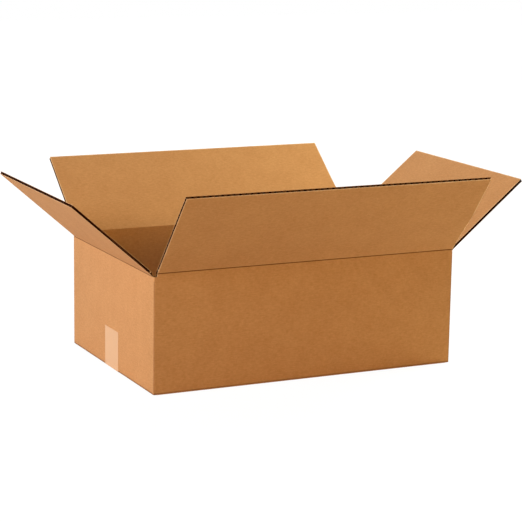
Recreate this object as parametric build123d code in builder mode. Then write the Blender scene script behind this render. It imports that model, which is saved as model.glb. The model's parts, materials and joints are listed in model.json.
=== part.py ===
from build123d import *
from math import radians, sin, tan
import os

# A slotted shipping carton of single-wall corrugated board, standing open: four walls, the bottom
# closed with one strip of tape, and the four top flaps leaning outwards on their folds.
# Millimetres, +Z up, front towards -Y. The origin is the middle of the underside.
os.makedirs("parts", exist_ok=True)

# Room inside the closed carton
inside_length = 457.2
inside_width = 304.8
inside_height = 152.4

# The board: two liners with a wavy medium between them
board = 4.0
liner = 0.4
medium = 0.4
flute_pitch = 8.5
flank_angle = 52.0

# Flaps, slots and folds
flap_depth = 152.4
seam_gap = 2.0
slot_width = 9.5
trimmed_end = 0.5
crushed_strip = 8.0
fold_radius = 1.5
fold_gap = 0.2
layer_gap = 0.3
end_wall_lift = 0.4
end_fold_slope = 2.0

# How far each top flap leans out from upright, in degrees
front_lean = 39.7
back_lean = 52.0
left_lean = 48.7
right_lean = 50.6

# The one glued corner, at the front right: the right wall's glue tab lies behind the front wall,
# whose cut edge stands beside the fold of the tab
joint_groove = 1.0
tab_width = 35.0
tab_taper = 12.0
tab_clearance = 2.0

# The strip of tape that closes the bottom
tape_width = 50.8
tape_thickness = 0.2
tape_rise = 59.0
tooth_pitch = 2.54
tooth_depth = 1.3

# Sizes that follow from those above
outer_length = inside_length + 2 * board
outer_width = inside_width + 2 * board
floor_height = tape_thickness + 2 * board
end_fold_height = floor_height + inside_height + board
long_fold_height = end_fold_height + board + layer_gap
bottom_reach = (outer_width - seam_gap) / 2
setback = slot_width / 2
front_flap_width = outer_length - setback - trimmed_end
front_flap_middle = (setback - trimmed_end) / 2
back_flap_width = outer_length - 2 * setback
end_flap_width = outer_width - 2 * setback

# The outer face of each wall, as a plane that stands on the fold of its top flap: X along the
# fold, Y up the wall, Z out of the carton
front_wall = Plane((front_flap_middle, -outer_width / 2, long_fold_height), (1, 0, 0), (0, -1, 0))
back_wall = Plane((0, outer_width / 2, long_fold_height), (-1, 0, 0), (0, 1, 0))
left_wall = Plane((-outer_length / 2, 0, end_fold_height), (0, -1, 0), (-1, 0, 0))
right_wall = Plane((outer_length / 2, 0, end_fold_height), (0, 1, 0), (1, 0, 0))


def across(wall):
    """The plane of a wall's section, with X up the wall and Y out of the carton."""
    return Plane(wall.origin, wall.y_dir, wall.x_dir)


def long_side(wall, width):
    """A long wall and its bottom flap, bent from one strip of board, with a mitre at the top."""
    foot = tape_thickness - long_fold_height
    with BuildSketch(across(wall)) as section:
        with BuildLine():
            outer_face = Line((-fold_gap, 0), (foot + fold_radius, 0))
            RadiusArc(outer_face @ 1, (foot, -fold_radius), fold_radius)
            Polyline((foot, -fold_radius), (foot, -bottom_reach), (foot + board, -bottom_reach),
                     (foot + board, -board), (-fold_gap - board, -board), outer_face @ 0)
        make_face()
    extrude(section.sketch, amount=width / 2, both=True)


def end_side(wall, width):
    """An end wall and its bottom flap, which lies on the long bottom flaps, inside the carton."""
    foot = tape_thickness + end_wall_lift - end_fold_height
    lap = tape_thickness + board - end_fold_height
    with BuildSketch(across(wall)) as section:
        with BuildLine():
            outer_face = Line((-fold_gap, 0), (foot + fold_radius, 0))
            RadiusArc(outer_face @ 1, (foot, -fold_radius), fold_radius)
            Polyline((foot, -fold_radius), (foot, -fold_radius - end_fold_slope),
                     (lap, -setback), (lap, -bottom_reach), (lap + board, -bottom_reach),
                     (lap + board, -board), (-fold_gap - board, -board), outer_face @ 0)
        make_face()
    extrude(section.sketch, amount=width / 2, both=True)


def open_flutes(board_face, width, reach):
    """The hollows in a flap, seen at its free edge: they stand on each liner in turn, with the
    medium between them, and the outermost ones are open at the flap's sides too."""
    flutes = round(width / flute_pitch)
    pitch = width / flutes
    core = board - 2 * liner
    angle = radians(flank_angle)
    hollow_width = pitch / 2 - medium / sin(angle) + core / tan(angle)
    middle = board_face.from_local_coords(Vector(0, reach, -board / 2))
    with BuildSketch(Plane(middle, board_face.x_dir, -board_face.y_dir)) as hollows:
        with Locations((0, medium / 2)), GridLocations(pitch, 0, flutes + 1, 1):
            Trapezoid(hollow_width, core - medium, flank_angle, rotation=180)
        with Locations((0, -medium / 2)), GridLocations(pitch, 0, flutes, 1):
            Trapezoid(hollow_width, core - medium, flank_angle)
    extrude(hollows.sketch, amount=reach - crushed_strip, mode=Mode.SUBTRACT)


def top_flap(wall, lean, width):
    """A top flap that leans out from its fold: a mitred strip of board, with its flutes pressed
    flat along the fold."""
    flap = Plane(wall.location * Rotation(lean, 0, 0))
    with BuildSketch(across(flap)) as section:
        with BuildLine():
            Polyline((fold_gap, 0), (flap_depth, 0), (flap_depth, -board),
                     (fold_gap + board, -board), close=True)
        make_face()
    extrude(section.sketch, amount=width / 2, both=True)
    open_flutes(flap, width, flap_depth)


# Walls, bottom flaps and glue tab: one blank, folded round and glued at the front right corner
with BuildPart() as carton_body:
    long_side(front_wall, front_flap_width)
    long_side(back_wall, back_flap_width)
    end_side(left_wall, end_flap_width)
    end_side(right_wall, end_flap_width)
    # The four upright folds, which end level at the slots between the flaps
    foot = tape_thickness + end_wall_lift
    with BuildSketch(Plane.XY.offset(foot)):
        with GridLocations(outer_length - setback, outer_width - setback, 2, 2):
            Rectangle(setback, setback)
        fillet(vertices().group_by(SortBy.DISTANCE)[-1], fold_radius)
        Rectangle(inside_length, inside_width, mode=Mode.SUBTRACT)
    extrude(amount=end_fold_height - fold_gap - foot)
    # The flutes of the inner bottom flaps, which show at their free edges on the carton's floor
    for wall in (left_wall, right_wall):
        lap = Plane((wall.origin.X, 0, tape_thickness + board), wall.x_dir, -Plane.XY.z_dir)
        open_flutes(lap, end_flap_width, bottom_reach)
    # The glue tab of the right wall, cut short and tapered at both ends
    tab_low = floor_height + tab_clearance
    tab_high = end_fold_height - board - tab_clearance
    with BuildSketch(Plane.XZ.offset(inside_width / 2)):
        with BuildLine():
            Polyline((inside_length / 2, tab_low), (inside_length / 2, tab_high),
                     (inside_length / 2 - tab_width, tab_high - tab_taper),
                     (inside_length / 2 - tab_width, tab_low + tab_taper), close=True)
        make_face()
    extrude(amount=-board)
    # The glued corner from outside: the front wall's cut edge, and a groove along the tab's fold
    joint = Vector(outer_length / 2, -outer_width / 2)
    with BuildSketch():
        with Locations(joint):
            Polygon((0, 0), (0, board + joint_groove), (-trimmed_end - joint_groove, board),
                    (-trimmed_end, board - joint_groove), (-trimmed_end, 0), align=None)
    extrude(amount=long_fold_height, mode=Mode.SUBTRACT)
carton_body.part.label = "carton_body"
export_step(carton_body.part, "parts/carton_body.step")

# The top flaps of the long walls, which come together over the middle when they are closed
with BuildPart() as front_flap:
    top_flap(front_wall, front_lean, front_flap_width)
front_flap.part.label = "front_flap"
export_step(front_flap.part, "parts/front_flap.step")

with BuildPart() as back_flap:
    top_flap(back_wall, back_lean, back_flap_width)
back_flap.part.label = "back_flap"
export_step(back_flap.part, "parts/back_flap.step")

# The top flaps of the end walls, which close first and lie under the long ones
with BuildPart() as left_flap:
    top_flap(left_wall, left_lean, end_flap_width)
left_flap.part.label = "left_flap"
export_step(left_flap.part, "parts/left_flap.step")

with BuildPart() as right_flap:
    top_flap(right_wall, right_lean, end_flap_width)
right_flap.part.label = "right_flap"
export_step(right_flap.part, "parts/right_flap.step")

# One strip of tape along the bottom seam and up the middle of both end walls, with the toothed
# edge of a dispenser's cut at each end
with BuildPart() as bottom_tape:
    with BuildSketch(Plane.XZ):
        Rectangle(outer_length + 2 * tape_thickness, tape_rise, align=(Align.CENTER, Align.MIN))
        with Locations((0, tape_thickness)):
            Rectangle(outer_length, tape_rise, align=(Align.CENTER, Align.MIN), mode=Mode.SUBTRACT)
        fillet(vertices().group_by(Axis.Y)[1], fold_radius)
        fillet(vertices().group_by(Axis.Y)[0], fold_radius + tape_thickness)
    extrude(amount=tape_width / 2, both=True)
    teeth = round(tape_width / tooth_pitch)
    pitch = tape_width / teeth
    with BuildSketch(Plane.YZ):
        with Locations((0, tape_rise)), GridLocations(pitch, 0, teeth, 1):
            Polygon((-pitch / 2, 0), (0, -tooth_depth), (pitch / 2, 0), align=None)
    extrude(amount=outer_length, both=True, mode=Mode.SUBTRACT)
bottom_tape.part.label = "bottom_tape"
export_step(bottom_tape.part, "parts/bottom_tape.step")
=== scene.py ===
import bmesh
import bpy
import json
import numpy as np
from math import cos, pi, radians, sin
from mathutils import Matrix, Vector


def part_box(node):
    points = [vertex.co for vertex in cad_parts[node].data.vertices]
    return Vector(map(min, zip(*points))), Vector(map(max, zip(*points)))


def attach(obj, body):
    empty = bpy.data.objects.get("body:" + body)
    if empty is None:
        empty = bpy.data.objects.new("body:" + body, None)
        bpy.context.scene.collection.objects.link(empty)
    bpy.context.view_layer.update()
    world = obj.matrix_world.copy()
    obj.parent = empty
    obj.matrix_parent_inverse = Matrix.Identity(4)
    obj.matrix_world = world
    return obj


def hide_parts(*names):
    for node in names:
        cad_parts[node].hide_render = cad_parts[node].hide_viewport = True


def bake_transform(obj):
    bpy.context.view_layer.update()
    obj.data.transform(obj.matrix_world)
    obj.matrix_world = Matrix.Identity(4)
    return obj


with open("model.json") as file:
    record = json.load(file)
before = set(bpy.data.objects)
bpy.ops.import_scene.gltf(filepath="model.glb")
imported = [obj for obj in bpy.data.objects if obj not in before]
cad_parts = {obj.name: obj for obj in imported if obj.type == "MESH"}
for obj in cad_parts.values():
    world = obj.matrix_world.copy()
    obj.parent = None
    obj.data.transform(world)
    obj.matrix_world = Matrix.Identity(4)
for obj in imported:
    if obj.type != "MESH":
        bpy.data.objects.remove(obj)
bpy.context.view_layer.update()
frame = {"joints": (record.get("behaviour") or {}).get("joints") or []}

# The top flaps: single-wall corrugated board, two kraft liners glued to a wavy medium. The blank
# was slotted and trimmed, so the flutes stand open at each flap's free edge and at its sides.
board = 0.004
flute_pitch = 0.0085
liner = 0.0003
medium = 0.0003
# a point this near to an edge counts as on it
hair = 0.00001


def node(tree, kind, inputs=None, **settings):
    """A node of a tree, with its sockets linked or set by name or number."""
    made = tree.nodes.new(kind)
    for key, value in settings.items():
        setattr(made, key, value)
    for key, value in (inputs or {}).items():
        if isinstance(value, bpy.types.NodeSocket):
            tree.links.new(value, made.inputs[key])
        else:
            made.inputs[key].default_value = value
    return made


def maths_in(tree):
    """A short call for the arithmetic nodes of one tree."""
    def maths(operation, *values):
        return node(tree, "ShaderNodeMath", dict(enumerate(values)), operation=operation).outputs[0]
    return maths


def shade(red, green, blue):
    """A colour as a screen shows it, turned into the linear light that shaders take."""
    screen = [c / 255 for c in (red, green, blue)]
    return [c / 12.92 if c < 0.04 else ((c + 0.055) / 1.055) ** 2.4 for c in screen] + [1]


def paper(name, dark, light, ribs=0.0, scuffed_and_highlit=None, bruise_and_shade=None, bruise_and_shade_width=0.0014, corner=None):
    """Unbleached kraft paper: clouded pulp with short fibres that lie across the flutes. The map
    called board holds metres across the flutes and along them, and the map called rim holds the
    distance to the nearest cut edge each way. ribs is how far the flutes show through, against
    the grain. scuffed_and_highlit is the paler paper along a cut edge, partly worn fibres and
    partly a painted rim highlight. bruise_and_shade is a darker paper up to bruise_and_shade_width
    from where the first map's second value is zero: crushed fibres with painted crease shade in a
    pressed line, and painted shade along a wall's foot. It is also painted shade at the upright
    folds, when corner holds how far they stand from the middle in X and Y."""
    made = bpy.data.materials.new(name)
    made.use_nodes = True
    tree = made.node_tree
    maths = maths_in(tree)
    shader = tree.nodes["Principled BSDF"]

    def noise(vector, scale, detail):
        return node(tree, "ShaderNodeTexNoise", {"Vector": vector, "Scale": scale, "Detail": detail,
                                                 "Roughness": 0.64}).outputs[0]

    def band(value, near, far):
        return node(tree, "ShaderNodeMapRange", {"Value": value, "From Min": near, "From Max": far,
                                                 "To Min": 1.0, "To Max": 0.0}).outputs[0]

    place = node(tree, "ShaderNodeTexCoord").outputs["Object"]
    sheet = node(tree, "ShaderNodeUVMap", uv_map="board").outputs["UV"]
    across = node(tree, "ShaderNodeSeparateXYZ", {0: sheet}).outputs
    stretched = node(tree, "ShaderNodeMapping", {"Vector": sheet, "Scale": (130, 620, 1)}).outputs[0]
    clouds = noise(place, 26, 3)
    grain = noise(place, 310, 3)
    fibres = noise(stretched, 1, 4)
    mottle = maths("MULTIPLY_ADD", clouds, 0.45, maths("MULTIPLY_ADD", grain, 0.7, fibres))
    spread = node(tree, "ShaderNodeMapRange", {"Value": mottle, "From Min": 0.78,
                                               "From Max": 1.37}).outputs[0]
    colour = node(tree, "ShaderNodeMix", {0: spread, 6: dark, 7: light}, data_type="RGBA").outputs[2]
    # paler paper along the cut edges: partly worn fibres, partly a painted rim highlight
    if scuffed_and_highlit:
        rim = node(tree, "ShaderNodeUVMap", uv_map="rim").outputs["UV"]
        rims = node(tree, "ShaderNodeSeparateXYZ", {0: rim}).outputs
        uneven = maths("MULTIPLY_ADD", grain, -0.0012, maths("MULTIPLY_ADD", clouds, -0.003, 0.0015))
        nearest = maths("ADD", maths("MINIMUM", rims[0], rims[1]), uneven)
        worn_and_highlit = maths("MULTIPLY", band(nearest, 0.0002, 0.0009), 0.8)
        colour = node(tree, "ShaderNodeMix", {0: worn_and_highlit, 6: colour, 7: scuffed_and_highlit}, data_type="RGBA").outputs[2]
    # a darker band by the line: crushed fibres with painted crease shade at a fold, painted shade at a wall's
    # foot
    if bruise_and_shade:
        pressed = band(maths("ABSOLUTE", across[1]), bruise_and_shade_width * 0.3, bruise_and_shade_width)
        # painted shade at the upright folds of the walls
        if corner:
            sides = node(tree, "ShaderNodeSeparateXYZ", {0: place}).outputs
            gaps = [maths("SUBTRACT", far, maths("ABSOLUTE", side)) for far, side in zip(corner, sides)]
            upright = maths("MULTIPLY", band(maths("MAXIMUM", *gaps), 0.0007, 0.0017), 0.5)
            pressed = maths("MAXIMUM", pressed, upright)
        colour = node(tree, "ShaderNodeMix", {0: pressed, 6: colour, 7: bruise_and_shade}, data_type="RGBA").outputs[2]
    tree.links.new(colour, shader.inputs["Base Color"])
    rough = node(tree, "ShaderNodeMapRange", {"Value": fibres, "To Min": 0.84, "To Max": 0.97})
    tree.links.new(rough.outputs[0], shader.inputs["Roughness"])
    height = maths("ADD", fibres, grain)
    if ribs:
        # the flutes read faintly through the liner
        wave = maths("SINE", maths("MULTIPLY", across[0], 2 * pi / flute_pitch))
        height = maths("MULTIPLY_ADD", wave, ribs, height)
    bump = node(tree, "ShaderNodeBump", {"Height": height, "Strength": 0.35, "Distance": 0.00008})
    tree.links.new(bump.outputs[0], shader.inputs["Normal"])
    shader.inputs["Specular IOR Level"].default_value = 0.2
    return made


kraft_shades = shade(186, 129, 77), shade(206, 149, 95)
# paler paper for the cut edges, partly worn fibres and partly a painted rim highlight
pale_fibres_and_highlight = shade(232, 188, 140)
show_through = 0.4
kraft = paper("Kraft liner", *kraft_shades, ribs=show_through, scuffed_and_highlit=pale_fibres_and_highlight)
kraft_cut = paper("Cut edge of the liner", shade(214, 160, 108), shade(240, 192, 138))
# painted shade: the liner's face inside the flutes is darker than the kraft it is
hollow_liner_with_painted_shade = paper("Kraft liner in the flutes", shade(134, 82, 44), shade(160, 104, 60))
medium_cut = paper("Cut edge of the medium", shade(104, 54, 26), shade(140, 80, 46))
# painted shade: darker than such paper is, because the openings of the flutes lie nearly black in shadow
medium_with_painted_shade = paper("Fluted medium", shade(38, 13, 4), shade(54, 21, 7))
medium_with_painted_shade.node_tree.nodes["Principled BSDF"].inputs["Specular IOR Level"].default_value = 0.0


def board_tree():
    """Two flat liners and the waved medium between them, each a closed sheet. X runs across the
    flutes, Y along them from the fold to the free edge, and the outer face is at Z = 0."""
    tree = bpy.data.node_groups.new("Corrugated board", "GeometryNodeTree")
    tree.interface.new_socket("Geometry", in_out="OUTPUT", socket_type="NodeSocketGeometry")
    for name, kind in (("Width", "Float"), ("Depth", "Float"), ("Board", "Float"), ("Liner", "Float"),
                       ("Medium", "Float"), ("Flutes", "Int"), ("Steps per flute", "Int"), ("Rows", "Int"),
                       ("Start", "Float"), ("Skew", "Float"), ("Bow", "Float"), ("Bow at low X", "Float"),
                       ("Ragged cut", "Float"), ("Seed", "Float")):
        tree.interface.new_socket(name, in_out="INPUT", socket_type="NodeSocket" + kind)
    size = node(tree, "NodeGroupInput").outputs
    maths = maths_in(tree)

    def vector(x=0.0, y=0.0, z=0.0):
        return node(tree, "ShaderNodeCombineXYZ", {0: x, 1: y, 2: z}).outputs[0]

    normal = node(tree, "GeometryNodeInputNormal").outputs[0]
    facing = node(tree, "ShaderNodeSeparateXYZ", {0: normal}).outputs[2]

    def sheet(columns, thickness, level, material, inward=0.0, lining=medium_with_painted_shade):
        slab = node(tree, "GeometryNodeMeshCube", {"Size": vector(size["Width"], size["Depth"], thickness),
                                                   "Vertices X": columns, "Vertices Y": size["Rows"],
                                                   "Vertices Z": 2}).outputs["Mesh"]
        offset = vector(0.0, maths("DIVIDE", size["Depth"], 2.0), level)
        lifted = node(tree, "GeometryNodeSetPosition", {"Geometry": slab, "Offset": offset}).outputs[0]
        plain = node(tree, "GeometryNodeSetMaterial", {"Geometry": lifted, "Material": material}).outputs[0]
        # the liners' faces inside the flutes take a darker lining paper: painted shade
        hidden = maths("GREATER_THAN", maths("MULTIPLY", facing, inward), 0.5)
        return node(tree, "GeometryNodeSetMaterial", {"Geometry": plain, "Selection": hidden,
                                                      "Material": lining}).outputs[0]

    place = node(tree, "GeometryNodeInputPosition").outputs[0]
    axes = node(tree, "ShaderNodeSeparateXYZ", {0: place}).outputs
    plies = maths("ADD", maths("MULTIPLY", size["Liner"], 2.0), size["Medium"])
    swing = maths("MULTIPLY", maths("SUBTRACT", size["Board"], plies), 0.5)
    turns = maths("DIVIDE", maths("MULTIPLY", axes[0], size["Flutes"]), size["Width"])
    skewed = maths("MULTIPLY_ADD", maths("DIVIDE", axes[1], size["Depth"]), size["Skew"], size["Start"])
    whole_turns = maths("MULTIPLY_ADD", size["Flutes"], 0.5, turns)
    phase = maths("MULTIPLY", maths("ADD", whole_turns, skewed), 2 * pi)
    wave = maths("MULTIPLY_ADD", maths("COSINE", phase), swing, maths("MULTIPLY", size["Board"], -0.5))
    # the medium is as thick on its flanks as on its crests, so there it takes up more height
    turn_per_metre = maths("DIVIDE", maths("MULTIPLY", size["Flutes"], 2 * pi), size["Width"])
    steepest = maths("MULTIPLY", swing, turn_per_metre)
    slope = maths("MULTIPLY", maths("SINE", phase), steepest)
    stretch = maths("SUBTRACT", maths("SQRT", maths("MULTIPLY_ADD", slope, slope, 1.0)), 1.0)
    wave = maths("MULTIPLY_ADD", axes[2], stretch, wave)
    half_liner = maths("MULTIPLY", size["Liner"], 0.5)
    fine = maths("MULTIPLY_ADD", size["Flutes"], size["Steps per flute"], 1.0)
    few = maths("MULTIPLY_ADD", size["Flutes"], 4.0, 1.0)
    joined = node(tree, "GeometryNodeJoinGeometry")
    for part in (sheet(few, size["Liner"], maths("MULTIPLY", half_liner, -1.0), kraft, -1.0),
                 sheet(few, size["Liner"], maths("SUBTRACT", half_liner, size["Board"]), kraft, 1.0,
                       hollow_liner_with_painted_shade),
                 sheet(fine, size["Medium"], wave, medium_with_painted_shade)):
        tree.links.new(part, joined.inputs[0])
    half_width = maths("DIVIDE", size["Width"], 2.0)
    rim = vector(maths("SUBTRACT", half_width, maths("ABSOLUTE", axes[0])),
                 maths("SUBTRACT", size["Depth"], axes[1]))
    mapped = joined.outputs[0]
    for name, value in (("board", place), ("rim", rim)):
        mapped = node(tree, "GeometryNodeStoreNamedAttribute",
                      {"Geometry": mapped, "Name": name, "Value": value},
                      data_type="FLOAT2", domain="CORNER").outputs[0]

    # the knife leaves each ply a little short and uneven, and the panel isn't quite flat
    noise = node(tree, "ShaderNodeTexNoise",
                 {"Vector": place, "W": size["Seed"], "Scale": 420, "Detail": 2},
                 noise_dimensions="4D").outputs[0]
    uneven = maths("MULTIPLY", noise, maths("MULTIPLY", size["Ragged cut"], -1.0))
    free = maths("GREATER_THAN", axes[1], maths("SUBTRACT", size["Depth"], hair))
    side = maths("GREATER_THAN", maths("ABSOLUTE", axes[0]), maths("SUBTRACT", half_width, hair))
    inward = maths("MULTIPLY", maths("MULTIPLY", maths("SIGN", axes[0]), side), uneven)
    arch = maths("COSINE", maths("MULTIPLY", maths("DIVIDE", axes[1], size["Depth"]), 2 * pi))
    across = maths("ADD", maths("DIVIDE", axes[0], size["Width"]), 0.5)
    more_bow = maths("SUBTRACT", size["Bow"], size["Bow at low X"])
    bow = maths("MULTIPLY_ADD", across, more_bow, size["Bow at low X"])
    lift = maths("MULTIPLY", maths("MULTIPLY", maths("SUBTRACT", 1.0, arch), 0.5), bow)
    offset = vector(inward, maths("MULTIPLY", free, uneven), lift)
    bent = node(tree, "GeometryNodeSetPosition", {"Geometry": mapped, "Offset": offset}).outputs[0]
    whole = node(tree, "GeometryNodeRealizeInstances", {"Geometry": bent}).outputs[0]
    edge = maths("LESS_THAN", maths("ABSOLUTE", facing), 0.45)
    for ply, cut in ((medium_with_painted_shade, medium_cut), (kraft, kraft_cut)):
        of_ply = node(tree, "GeometryNodeMaterialSelection", {"Material": ply}).outputs[0]
        cut_here = maths("MULTIPLY", edge, of_ply)
        whole = node(tree, "GeometryNodeSetMaterial", {"Geometry": whole, "Selection": cut_here,
                                                       "Material": cut}).outputs[0]
    node(tree, "NodeGroupOutput", {0: whole})
    return tree


corrugated = board_tree()


def grown(name, tree, sizes):
    """A new object at the origin with the plain mesh that a tree grows from these sizes."""
    made = bpy.data.objects.new(name, bpy.data.meshes.new(name))
    bpy.context.collection.objects.link(made)
    modifier = made.modifiers.new(tree.name, "NODES")
    modifier.node_group = tree
    for item in tree.interface.items_tree:
        if item.in_out == "INPUT":
            modifier[item.identifier] = sizes[item.name]
    shape = made.evaluated_get(bpy.context.evaluated_depsgraph_get())
    mesh = bpy.data.meshes.new_from_object(shape)
    made.modifiers.clear()
    made.data = mesh
    return made


def flat_board(name, place, width, depth, bow=0.0, bow_at_low_x=0.0, start=0.3, skew=0.3, seed=1.0,
               skin=None):
    """A flat piece of corrugated board as a plain mesh, laid where it belongs. bow and bow_at_low_x
    are how far it stands out half way up, at either side. start is where in a flute its sides
    begin at the fold, and skew how many flutes they cross, because the sheet is never quite true
    to the knife. skin is the paper of its liners, where that isn't the outer one."""
    made = grown(name, corrugated, {
        "Width": width, "Depth": depth, "Board": board, "Liner": liner, "Medium": medium,
        "Flutes": round(width / flute_pitch), "Steps per flute": 12, "Rows": 14, "Start": start,
        "Skew": skew, "Bow": bow, "Bow at low X": bow_at_low_x, "Ragged cut": 0.00035, "Seed": seed})
    mesh = made.data
    mesh.transform(place)
    mesh.shade_smooth()
    mesh.set_sharp_from_angle(angle=radians(40))
    if skin:
        mesh.materials[list(mesh.materials).index(kraft)] = skin
    return made


# how far a flap's plain board stays from its fold, and how far the long flaps bow outwards, at the
# high and at the low end of the fold
fold_reach = 0.006
bows = {"front_flap": (0.0027, 0.0), "back_flap": (0.0008, 0.0006)}
flat = (0.0, 0.0)
folds = {}
for joint in frame["joints"]:
    flap = joint["child"]
    pivot = Vector(joint["pos_m"])
    along = Vector(joint["axis"])
    up = Vector((0, 0, 1))
    out = along.cross(up)
    # a flap closes until it lies level, so its lean from upright follows from its range
    lean = radians(-joint["range_deg"][0] - 90)
    rise = cos(lean) * up + sin(lean) * out
    away = along.cross(rise)
    ends = sorted(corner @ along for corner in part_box(flap))
    width = ends[1] - ends[0]
    depth = (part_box(flap)[1].z - pivot.z - board * sin(lean)) / cos(lean)
    # from here on the pivot is at the middle of the fold
    pivot += along * (sum(ends) / 2 - pivot @ along)
    folds[flap] = {"pivot": pivot, "along": along, "up": up, "out": out, "rise": rise, "away": away,
                   "width": width, "depth": depth, "lean": lean}
    turned = Matrix((along, rise, away)).transposed().to_4x4()
    place = Matrix.Translation(pivot + rise * fold_reach) @ turned
    # the left flap's sides are cut across a flute, and the others' along one, where the medium
    # stays close to the inner liner
    start, skew = (0.3, 0.3) if flap == "left_flap" else (0.42, 0.16)
    piece = flat_board(flap + "_board", place, width, depth - fold_reach, *bows.get(flap, flat),
                       start, skew, seed=lean)
    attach(piece, flap)
    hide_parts(flap)

# The folds of the top flaps: a pressed line in the same sheet, where the flutes are crushed and the
# flap bends. Each strip belongs half to its wall and half to its flap.
# the pressed line of each fold is darker, partly crushed fibres and partly painted crease shade
kraft_fold = paper("Kraft liner at a fold", *kraft_shades, scuffed_and_highlit=pale_fibres_and_highlight, bruise_and_shade=shade(112, 66, 30))
# painted light: a greyer copy of the same liner for the inside of the box, its glue tab and bottom flaps,
# standing in for the less reddened light in there
inside_liner_with_painted_light = paper("Kraft liner inside", shade(182, 134, 86), shade(202, 154, 104), ribs=show_through)


def bent_board(name, outer, inner, along, places, measured, fold=False, open_ends=True, skin=kraft,
               lining=None, insets=None, cut_from=-1.0, cut_start=False):
    """A band of board that is straight in one direction. outer and inner are the points of its
    two faces, station by station, along is that direction, and places are the stops on it.
    measured holds each station's length, counted across the flutes, or from a fold along them.
    skin is the paper of both faces, and lining that of the inner one, up to a fold. insets draws
    the outer face in at each stop, for an edge that is rolled under. cut_from is the length from
    which a fold's ends are cut edges. open_ends leaves the ends open between their liners, and
    cut_start the first edge, so that each shows two liners and a gap lined with the dark medium
    paper, which is painted shade."""
    skin_face, cut_face, painted_shade_gap_face, lining_face = range(4)
    slit_depth = 0.0015
    outer, inner, along = np.array(outer), np.array(inner), np.array(along)
    measured = list(measured)
    if cut_start:
        ply = (inner[0] - outer[0]) * liner / board
        deeper = (outer[1] - outer[0]) / np.linalg.norm(outer[1] - outer[0]) * slit_depth
        outer = np.vstack([outer[0] + ply + deeper, outer[0] + ply, outer])
        inner = np.vstack([inner[0] - ply + deeper, inner[0] - ply, inner])
        measured = measured[:1] * 2 + measured
    count = len(outer)
    size = 2 * count
    # the pressed line of a fold, partly crushed fibres and partly painted crease shade, shows on the outer
    # face only, so the inner one counts from here
    unmarked = 0.1 if fold else 0.0
    lengths = measured + [length + unmarked for length in measured[::-1]]
    whole = [0.0 if fold and length >= cut_from else 1.0 for length in measured + measured[::-1]]
    shape = bmesh.new()
    for map_name in ("board", "rim"):
        shape.loops.layers.uv.new(map_name)
    board_map, rim_map = shape.loops.layers.uv["board"], shape.loops.layers.uv["rim"]

    def ring(points, place):
        return [shape.verts.new(p + along * place) for p in points]

    def drawn_in(depth):
        return np.vstack([outer + (inner - outer) * depth / board, inner[::-1]])

    def face(corners, values, material):
        made = shape.faces.new(corners)
        made.material_index = material
        for one, value in zip(made.loops, values):
            one[board_map].uv = value[:2]
            one[rim_map].uv = (value[2], 1.0)

    def value(i, place):
        rim = min(place - places[0], places[-1] - place) + whole[i]
        return (place, lengths[i], rim) if fold else (lengths[i], place, 1.0)

    rings = [ring(drawn_in(depth), place) for place, depth in zip(places, insets or [0.0] * len(places))]
    for low, high, a, b in zip(rings, rings[1:], places, places[1:]):
        for i in range(size):
            j = (i + 1) % size
            material = skin_face
            if i in (count - 1, size - 1):
                material = cut_face
            elif i >= count and (not fold or min(lengths[i], lengths[j]) < unmarked):
                material = lining_face
            if cut_start and i in (0, 1, size - 3, size - 2, size - 1):
                material = cut_face if i in (1, size - 3) else painted_shade_gap_face
            face((low[i], low[j], high[j], high[i]),
                 (value(i, a), value(j, a), value(j, b), value(i, b)), material)
    for first, place, inside in ((rings[0], places[0], 1), (rings[-1], places[-1], -1)):
        caps = [(i, i + 1, size - 2 - i, size - 1 - i) for i in range(3 if cut_start else 0, count - 1)]
        if not open_ends:
            if cut_start:
                caps.append((0, 1, 2, 3, size - 4, size - 3, size - 2, size - 1))
            for cap in caps:
                face([first[k] for k in cap], [value(k, place) for k in cap], cut_face)
            continue
        # between the liners the end is open, so its middle lies deeper; the gap starts a fifth of
        # a station in from both edges, and its faces take the dark medium paper as painted shade
        share = liner / board
        rim_outer = outer + (inner - outer) * share
        rim_inner = inner + (outer - inner) * share
        for rim in (rim_outer, rim_inner):
            rim[0] += (rim[1] - rim[0]) * 0.2
            rim[-1] += (rim[-2] - rim[-1]) * 0.2
        gap_depth = min(0.0012, abs(places[-1] - places[0]) * 0.3)
        lip = np.vstack([rim_outer, rim_inner[::-1]])
        flush = ring(lip, place)
        deep = ring(lip, place + inside * gap_depth)
        for i in range(size):
            j = (i + 1) % size
            values = [value(k, place) for k in (i, j, j, i)]
            face((first[i], first[j], flush[j], flush[i]), values, cut_face)
            face((flush[i], flush[j], deep[j], deep[i]), values, painted_shade_gap_face)
        for cap in caps:
            face([deep[k] for k in cap], [value(k, place) for k in cap], painted_shade_gap_face)
    bmesh.ops.recalc_face_normals(shape, faces=shape.faces)
    mesh = bpy.data.meshes.new(name)
    shape.to_mesh(mesh)
    shape.free()
    for material in (skin, kraft_cut, medium_with_painted_shade, lining or skin):
        mesh.materials.append(material)
    mesh.shade_smooth()
    mesh.set_sharp_from_angle(angle=radians(35))
    made = bpy.data.objects.new(name, mesh)
    bpy.context.collection.objects.link(made)
    return made


# half the length of sheet that bends, how far past it the board is back at its full thickness,
# how far the bend slides from its hinge, and the stations on each side of it
bend_half = 0.0012
crush_ramp = 0.0031
bend_slide = 0.0009
stations = (0.0015, 0.0028, 0.0043)
end_flaps = ("left_flap", "right_flap")
# the foot of the slots between the flaps, level with the end folds, and the top of the plain walls
slot_foot = folds["left_flap"]["pivot"].z
ring_top = slot_foot - fold_reach


def crushed(distance, flap):
    """The board's thickness near a fold. A creasing wheel has pressed the end flaps nearly through
    from inside, so that the long ones can lie over them."""
    left = 0.0006 if flap in end_flaps else board
    return left + (board - left) * min(1.0, max(0.0, abs(distance) - bend_half) / crush_ramp)


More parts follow.
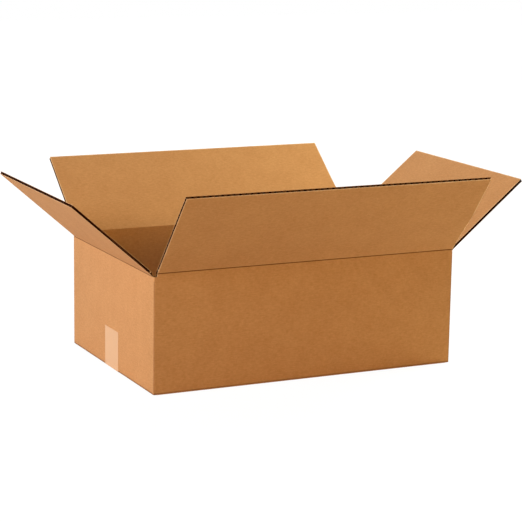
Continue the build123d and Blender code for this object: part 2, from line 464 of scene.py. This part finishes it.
for flap, side in folds.items():
    pivot, up, out, rise, away, lean = (side[key] for key in ("pivot", "up", "out", "rise", "away", "lean"))
    # how deep the pressed line is, and how far from the hinge the strip stops bending
    groove, bend_reach = (0.0002, 0.0012) if flap in end_flaps else (0.0005, 0.0020)
    outer, inner, measured = [], [], []
    for step in (ring_top - pivot.z, *(-step for step in reversed(stations))):
        outer.append(pivot + up * step)
        inner.append(pivot + up * step - out * crushed(step, flap))
        measured.append(step)
    for turn in np.linspace(0, 1, 9):
        # round the pivot, with the pressed line in the middle and a mitre inside
        facing = cos(lean * turn) * out - sin(lean * turn) * up
        dent = max(0.0, 1 - abs(turn - 0.5) / 0.3) ** 1.5
        shift = (turn - 0.5) * 2
        length = shift * bend_half
        slide = up * min(shift, 0) * bend_slide + rise * max(shift, 0) * bend_slide
        mitre = cos(lean * min(turn, 1 - turn))
        outer.append(pivot + slide - facing * groove * dent)
        inner.append(pivot + slide - facing * crushed(length, flap) / mitre)
        measured.append(length)
    for step in (*stations, fold_reach):
        outer.append(pivot + rise * step)
        inner.append(pivot + rise * step - away * crushed(step, flap))
        measured.append(step)
    stops = np.linspace(-side["width"] / 2, side["width"] / 2, 41)
    piece = bent_board(flap + "_fold_strip", outer, inner, side["along"], stops, measured, fold=True,
                       skin=kraft_fold, lining=inside_liner_with_painted_light, cut_from=slot_foot - pivot.z - 0.0001)
    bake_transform(piece)

# The walls: the same sheet folded round four upright corners and glued at the front right, where
# the front wall's cut edge stands beside the fold of the glue tab.
body_low, body_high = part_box("carton_body")
half_length = body_high.x
half_width = body_high.y
setback = half_width - folds["left_flap"]["width"] / 2
front_end = folds["front_flap"]["pivot"].x + folds["front_flap"]["width"] / 2
corner_radius = 0.0018
inner_radius = 0.0006
corner_steps = 7
# each upright corner's place, the way the sheet reaches it, and the way that side of it faces
corners = {"front_left": (Vector((-half_length, -half_width)), Vector((-1, 0)), Vector((0, -1))),
           "back_left": (Vector((-half_length, half_width)), Vector((0, 1)), Vector((-1, 0))),
           "back_right": (Vector((half_length, half_width)), Vector((1, 0)), Vector((0, 1))),
           "tab": (Vector((half_length, -half_width + board)), Vector((0, -1)), Vector((1, 0)))}


def round_the_walls():
    """The walls' outer and inner faces in plan, from the cut edge at the front right, round by
    the left and back to the fold of the glue tab, with the length along the sheet."""
    outer = [Vector((front_end, -half_width))]
    inner = [Vector((front_end, -half_width + board))]
    for corner, way, facing in corners.values():
        for turn in np.linspace(0, pi / 2, corner_steps):
            ray = cos(turn) * facing + sin(turn) * way
            outer.append(corner - (way + facing) * corner_radius + ray * corner_radius)
            inner.append(corner - (way + facing) * (board + inner_radius) + ray * inner_radius)
    measured = [0.0]
    for a, b in zip(outer, outer[1:]):
        measured.append(measured[-1] + (b - a).length)
    return outer, inner, measured


def grounded(points):
    """Points in plan as points at the carton's foot."""
    return [(*point, 0) for point in points]


plan_outer, plan_inner, plan_length = round_the_walls()
# the bottom edge is rolled under: shares of its height, and how far the face is drawn in there
wall_foot = body_low.z + 0.0004
rolled = 0.0011
roll = {0.0: rolled, 0.05: rolled * 0.69, 0.2: rolled * 0.4, 0.5: rolled * 0.13, 1.0: 0.0}
plain_levels = list(np.linspace(0.012, ring_top, 12))
# painted shade: the walls' paper darkens in a band along their foot and at the upright corners
kraft_wall = paper("Kraft liner of the walls", *kraft_shades, ribs=show_through, bruise_and_shade=shade(128, 80, 42),
                   bruise_and_shade_width=0.0040, corner=(half_length, half_width))
walls = bent_board("walls", grounded(plan_outer), grounded(plan_inner), (0, 0, 1),
                   [wall_foot + rolled * share for share in roll] + plain_levels, plan_length,
                   open_ends=False, skin=kraft_wall, lining=inside_liner_with_painted_light, cut_start=True,
                   insets=[*roll.values()] + [0.0] * len(plain_levels))
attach(walls, "carton")
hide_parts("carton_body")

# The slots between the top flaps end level with the end folds, so at each upright corner a short
# post of bent board stands between two flaps, with its cut end open.
post_top = slot_foot - 0.0002
for number, (name, (corner, way, facing)) in enumerate(corners.items()):
    first = 1 + number * corner_steps
    outer = plan_outer[first:first + corner_steps]
    inner = plan_inner[first:first + corner_steps]
    start = corner - way * (setback - board if name == "tab" else setback)
    inner.insert(0, start + (inner[0] - outer[0]).normalized() * board)
    outer.insert(0, start)
    if name != "tab":
        end = corner - facing * setback
        inner.append(end + (inner[-1] - outer[-1]).normalized() * board)
        outer.append(end)
    lengths = [plan_length[first] + k * 0.001 for k in range(len(outer))]
    piece = bent_board(name + "_post", grounded(outer), grounded(inner), (0, 0, 1),
                       [ring_top, (ring_top + post_top) / 2, post_top], lengths)
    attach(piece, "carton")

# The glue tab: a tongue of the right wall's board, tapered at both ends and glued flat behind the
# front wall.
tab_width = 0.035
tab_taper = 0.012
tab_clearance = 0.002
tab_low = body_low.z + 2 * board + tab_clearance
tab_high = slot_foot - board - tab_clearance
place = Matrix(((1, 0, 0, half_length - board - tab_width / 2), (0, 0, -1, -half_width + board),
                (0, 1, 0, tab_low), (0, 0, 0, 1)))
tab = flat_board("glue_tab", place, tab_width, tab_high - tab_low, seed=7.0, skin=inside_liner_with_painted_light)
middle = (tab_low + tab_high) / 2
for point in tab.data.vertices:
    share = (half_length - board - point.co.x) / tab_width
    point.co.z = middle + (point.co.z - middle) * (1 - share * tab_taper / (tab_high - middle))
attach(tab, "carton")

# The bottom: four flaps folded in, the long ones outside and meeting on the middle line, the short
# ones on top of them inside.
seam_gap = 0.002
reach = half_width - seam_gap / 2 - board
long_width = 2 * (half_length - setback)
short_width = 2 * (half_width - setback)
for name, x_axis, y_axis, start, width, level in (
        ("front_bottom_flap", (-1, 0, 0), (0, 1, 0), (0, -half_width + board), long_width, 0),
        ("back_bottom_flap", (1, 0, 0), (0, -1, 0), (0, half_width - board), long_width, 0),
        ("left_bottom_flap", (0, 1, 0), (1, 0, 0), (-half_length + board, 0), short_width, board),
        ("right_bottom_flap", (0, -1, 0), (-1, 0, 0), (half_length - board, 0), short_width, board)):
    turned = Matrix((x_axis, y_axis, (0, 0, -1))).transposed().to_4x4()
    place = Matrix.Translation((*start, body_low.z + level)) @ turned
    piece = flat_board(name, place, width, reach, seed=len(name) + level, skin=inside_liner_with_painted_light)
    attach(piece, "carton")

# The bottom folds of the long walls, rolled under without a break into the outer bottom flaps.
fold_radius = 0.0015
fold_top = body_low.z + fold_radius
fold_start = 0.003
for name, facing in (("front_bottom_fold", -1), ("back_bottom_fold", 1)):
    outer, inner, measured = [], [], []
    for turn in np.linspace(0, pi / 2, 7):
        outer.append((0, facing * (half_width - fold_radius + fold_radius * cos(turn)),
                      fold_top - fold_radius * sin(turn)))
        inset = 0.0005 + 0.003 * turn / (pi / 2)
        inner.append((0, facing * (half_width - inset), fold_top))
        measured.append(fold_start + turn * fold_radius)
    outer.append((0, facing * (half_width - board), body_low.z))
    inner.append((0, facing * (half_width - board), fold_top))
    measured.append(fold_start + 0.005)
    stops = np.linspace(-long_width / 2, long_width / 2, 5)
    piece = bent_board(name, outer, inner, (1, 0, 0), stops, measured, fold=True, open_ends=False)
    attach(piece, "carton")

# The tape: one strip of pale plastic film along the bottom seam and up the middle of both end
# walls, torn off against the toothed blade of a hand dispenser.
tape_low, tape_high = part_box("bottom_tape")
film = 0.0002
tape_width = tape_high.y - tape_low.y
tooth_pitch = 0.00254
tooth_depth = 0.0013
round_length = pi / 2 * (fold_radius + film / 2)
flat_half = half_length - fold_radius
upright = tape_high.z - film - fold_radius
tape_length = 2 * (flat_half + round_length + upright)


def film_finish():
    """Thin film with a little shine: the pull of the roll leaves faint streaks along it, and the
    glue has clouded it here and there."""
    made = bpy.data.materials.new("Packing tape film")
    made.use_nodes = True
    tree = made.node_tree
    shader = tree.nodes["Principled BSDF"]
    strip = node(tree, "ShaderNodeUVMap", uv_map="board").outputs["UV"]
    drawn = node(tree, "ShaderNodeMapping", {"Vector": strip, "Scale": (420, 16, 1)}).outputs[0]
    streaks = node(tree, "ShaderNodeTexNoise", {"Vector": drawn, "Scale": 1, "Detail": 3}).outputs[0]
    colour = node(tree, "ShaderNodeMix", {0: streaks, 6: shade(209, 157, 105), 7: shade(219, 167, 115)},
                  data_type="RGBA").outputs[2]
    tree.links.new(colour, shader.inputs["Base Color"])
    rough = node(tree, "ShaderNodeMapRange", {"Value": streaks, "To Min": 0.3, "To Max": 0.5}).outputs[0]
    tree.links.new(rough, shader.inputs["Roughness"])
    bump = node(tree, "ShaderNodeBump", {"Height": streaks, "Strength": 0.3, "Distance": 0.0001}).outputs[0]
    tree.links.new(bump, shader.inputs["Normal"])
    return made


def tape_tree():
    """A flat strip of tape, X across it and Y along it, with a saw-toothed edge at both ends."""
    tree = bpy.data.node_groups.new("Toothed tape", "GeometryNodeTree")
    tree.interface.new_socket("Geometry", in_out="OUTPUT", socket_type="NodeSocketGeometry")
    for name, kind in (("Width", "Float"), ("Length", "Float"), ("Film", "Float"), ("Teeth", "Int"),
                       ("Tooth depth", "Float"), ("Rows", "Int")):
        tree.interface.new_socket(name, in_out="INPUT", socket_type="NodeSocket" + kind)
    size = node(tree, "NodeGroupInput").outputs
    maths = maths_in(tree)
    whole_size = node(tree, "ShaderNodeCombineXYZ", {0: size["Width"], 1: size["Length"], 2: size["Film"]})
    columns = maths("MULTIPLY_ADD", size["Teeth"], 2.0, 1.0)
    slab = node(tree, "GeometryNodeMeshCube", {"Size": whole_size.outputs[0], "Vertices X": columns,
                                               "Vertices Y": size["Rows"], "Vertices Z": 2}).outputs["Mesh"]
    place = node(tree, "GeometryNodeInputPosition").outputs[0]
    axes = node(tree, "ShaderNodeSeparateXYZ", {0: place}).outputs
    mapped = node(tree, "GeometryNodeStoreNamedAttribute", {"Geometry": slab, "Name": "board", "Value": place},
                  data_type="FLOAT2", domain="CORNER").outputs[0]
    half_pitch = maths("DIVIDE", size["Width"], maths("MULTIPLY", size["Teeth"], 2.0))
    from_side = maths("ADD", axes[0], maths("MULTIPLY", size["Width"], 0.5))
    zigzag = maths("DIVIDE", maths("PINGPONG", from_side, half_pitch), half_pitch)
    half_strip = maths("MULTIPLY", size["Length"], 0.5)
    torn = maths("GREATER_THAN", maths("ABSOLUTE", axes[1]), maths("SUBTRACT", half_strip, hair))
    back = maths("MULTIPLY", maths("MULTIPLY", maths("SIGN", axes[1]), torn),
                 maths("MULTIPLY", zigzag, maths("MULTIPLY", size["Tooth depth"], -1.0)))
    offset = node(tree, "ShaderNodeCombineXYZ", {1: back}).outputs[0]
    toothed = node(tree, "GeometryNodeSetPosition", {"Geometry": mapped, "Offset": offset}).outputs[0]
    whole = node(tree, "GeometryNodeRealizeInstances", {"Geometry": toothed}).outputs[0]
    dressed = node(tree, "GeometryNodeSetMaterial", {"Geometry": whole, "Material": film_finish()}).outputs[0]
    node(tree, "NodeGroupOutput", {0: dressed})
    return tree


tape = grown("packing_tape", tape_tree(), {
    "Width": tape_width, "Length": tape_length, "Film": film, "Teeth": round(tape_width / tooth_pitch),
    "Tooth depth": tooth_depth, "Rows": 321})
for point in tape.data.vertices:
    # along the seam, round the bottom edge and up the end wall
    side = 1 if point.co.y > 0 else -1
    run = abs(point.co.y)
    lift = point.co.z + film / 2
    width = point.co.x
    if run <= flat_half:
        x, z = run, film - lift
    elif run <= flat_half + round_length:
        turn = (run - flat_half) / round_length * pi / 2
        x = flat_half + (fold_radius + lift) * sin(turn)
        z = film + fold_radius - (fold_radius + lift) * cos(turn)
    else:
        x, z = half_length + lift, film + fold_radius + run - flat_half - round_length
    point.co = (side * x, -width, z)
tape.data.shade_smooth()
tape.data.set_sharp_from_angle(angle=radians(35))
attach(tape, "carton")
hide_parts("bottom_tape")

# The studio: a pale floor and backdrop, a large soft lamp from the left, a small warm one low in
# front, a near one over the right end and a plain one behind, with the camera at the
# photograph's angle.
plain_white = (1, 1, 1, 1)


def seen_in(tree):
    """One for a ray that the camera sees, straight or by way of a shiny or clear thing, and zero
    for the rays that light the carton."""
    maths = maths_in(tree)
    rays = node(tree, "ShaderNodeLightPath").outputs
    straight = maths("MAXIMUM", rays["Is Camera Ray"], rays["Is Glossy Ray"])
    return maths("MAXIMUM", straight, rays["Is Transmission Ray"])


floor_mesh = bpy.data.meshes.new("studio_floor")
floor_shape = bmesh.new()
below_the_tape = Matrix.Translation((0, 0, -0.0003))
bmesh.ops.create_grid(floor_shape, x_segments=1, y_segments=1, size=6, matrix=below_the_tape)
floor_shape.to_mesh(floor_mesh)
floor_shape.free()
floor = bpy.data.objects.new("studio_floor", floor_mesh)
bpy.context.collection.objects.link(floor)
white = bpy.data.materials.new("White paper floor")
white.use_nodes = True
tree = white.node_tree
tree.nodes.clear()
seen = seen_in(tree)
# the camera sees white paper that still takes the carton's shadow, and plain white further out
place = node(tree, "ShaderNodeTexCoord").outputs["Object"]
distance = node(tree, "ShaderNodeVectorMath", {0: place}, operation="LENGTH").outputs["Value"]
level = node(tree, "ShaderNodeMapRange", {"Value": distance, "From Min": 0.5, "From Max": 1.5,
                                          "To Min": 0.95, "To Max": 1.0}).outputs[0]
strength = node(tree, "ShaderNodeMath", {0: seen, 1: level}, operation="MULTIPLY").outputs[0]
glow = node(tree, "ShaderNodeEmission", {"Color": plain_white, "Strength": strength})
tone = node(tree, "ShaderNodeMix", {0: seen, 6: (0.86, 0.86, 0.86, 1), 7: (0.1, 0.1, 0.1, 1)},
            data_type="RGBA").outputs[2]
plain = node(tree, "ShaderNodeBsdfDiffuse", {"Color": tone})
mixed = node(tree, "ShaderNodeAddShader", {0: plain.outputs[0], 1: glow.outputs[0]})
node(tree, "ShaderNodeOutputMaterial", {0: mixed.outputs[0]})
floor_mesh.materials.append(white)

world = bpy.data.worlds.new("Studio")
bpy.context.scene.world = world
world.use_nodes = True
tree = world.node_tree
tree.nodes.clear()
ambient = node(tree, "ShaderNodeBackground", {"Color": plain_white, "Strength": 0.15})
backdrop = node(tree, "ShaderNodeBackground", {"Color": plain_white, "Strength": 1.0})
mixed = node(tree, "ShaderNodeMixShader", {0: seen_in(tree), 1: ambient.outputs[0], 2: backdrop.outputs[0]})
node(tree, "ShaderNodeOutputWorld", {0: mixed.outputs[0]})


def lamp(name, place, size, power, colour):
    """A square soft lamp of this size in metres and power in watts, turned to the middle of the
    carton."""
    made = bpy.data.objects.new(name, bpy.data.lights.new(name, "AREA"))
    made.data.shape = "SQUARE"
    made.data.size = size
    made.data.energy = power
    made.data.color = colour
    made.location = place
    made.rotation_euler = (Vector((0, 0, 0.12)) - Vector(place)).to_track_quat("-Z", "Y").to_euler()
    bpy.context.collection.objects.link(made)


lamp("key_from_the_left", (-3.15, -0.35, 1.2), 1.6, 105, (0.835, 0.875, 0.99))
lamp("warm_light_from_the_front", (-0.5, -3.2, 1.25), 0.5, 27.3, (1.0, 0.63, 0.07))
lamp("small_light_over_the_right_end", (0.95, 0.1, 0.95), 0.4, 12.2, (0.9, 1.0, 0.8))
lamp("light_from_behind", (1.2, 3.0, 1.4), 1.8, 45, (1.0, 1.0, 1.0))

camera = bpy.data.objects.new("camera", bpy.data.cameras.new("camera"))
bpy.context.collection.objects.link(camera)
# its right, up and back, as in a camera fitted to the carton's corners in the photograph
right = Vector((0.9018470, -0.4317820, 0.0153706))
upward = Vector((0.0741027, 0.1896280, 0.9790557))
back = -Vector((0.4256533, 0.8818195, -0.2030116))
turned = Matrix((right, upward, back)).transposed().to_4x4()
camera.matrix_world = Matrix.Translation((-1.168250, -2.423285, 0.696620)) @ turned
camera.data.sensor_width = 36
camera.data.lens = 129.27
bpy.context.scene.camera = camera
bpy.context.scene.view_settings.view_transform = "Standard"
